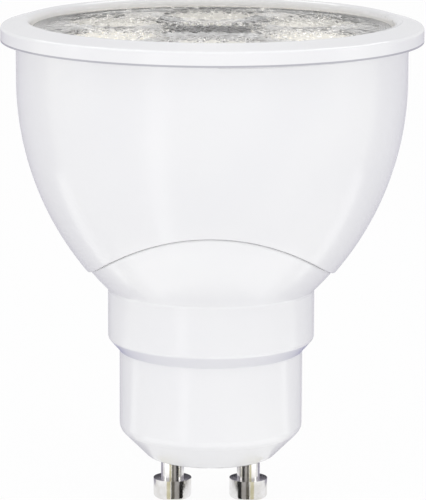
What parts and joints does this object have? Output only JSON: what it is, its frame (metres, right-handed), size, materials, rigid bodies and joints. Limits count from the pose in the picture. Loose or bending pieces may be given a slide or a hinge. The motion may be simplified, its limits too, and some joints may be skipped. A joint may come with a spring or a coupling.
{
  "type": "gu10 led spotlight bulb",
  "caption": "Reflector-shaped LED spotlight bulb: a clear multi-cell lens in a round bezel, a white bowl housing, a stepped cap and headed contact pins for a twist-lock lampholder.",
  "frame": {"origin": "on the lamp's axis in the cap's bottom face, midway between the contact pins", "axes": "+Z along the axis towards the lens, X along the line through the contact pins"},
  "size_m": [0.0544, 0.0544, 0.0635],
  "materials": {
    "white_polycarbonate": "white moulded polycarbonate, satin gloss",
    "clear_acrylic": "clear moulded acrylic, polished",
    "nickel_plate": "bright nickel plate on turned brass",
    "drawn_aluminium": "drawn aluminium, bare",
    "thermal_silicone": "soft grey silicone sheet",
    "white_solder_mask": "white solder mask on an aluminium core",
    "led_phosphor": "yellow phosphor under clear silicone",
    "zinc_steel": "zinc-plated steel",
    "black_nylon": "black moulded nylon",
    "tinned_wire": "tinned copper",
    "green_laminate": "green solder mask on glass laminate",
    "resistor_lacquer": "baked lacquer",
    "ferrite": "sintered ferrite, dark grey",
    "capacitor_sleeve": "shrunk sleeve over an aluminium can",
    "film_box": "moulded box, yellow",
    "winding_tape": "polyester tape over the winding",
    "black_epoxy": "moulded black epoxy"
  },
  "bodies": {
    "root": {"bezel_ring": "white_polycarbonate", "upper_shell": "white_polycarbonate", "lower_body": "white_polycarbonate", "lens": "clear_acrylic", "contact_pin_left": "nickel_plate", "contact_pin_right": "nickel_plate", "heat_sink": "drawn_aluminium", "thermal_pad": "thermal_silicone", "led_board": "white_solder_mask", "leds": "led_phosphor", "led_board_screws": "zinc_steel", "led_header": "black_nylon", "led_header_pins": "tinned_wire", "driver_board": "green_laminate", "mains_leads": "tinned_wire", "fuse_resistor": "resistor_lacquer", "input_choke": "ferrite", "input_capacitor": "capacitor_sleeve", "film_capacitor": "film_box", "transformer_core": "ferrite", "transformer_bobbin": "black_nylon", "transformer_winding": "winding_tape", "output_capacitor": "capacitor_sleeve", "bridge_rectifier": "black_epoxy", "driver_chip": "black_epoxy", "output_diode": "black_epoxy"}
  },
  "joints": []
}
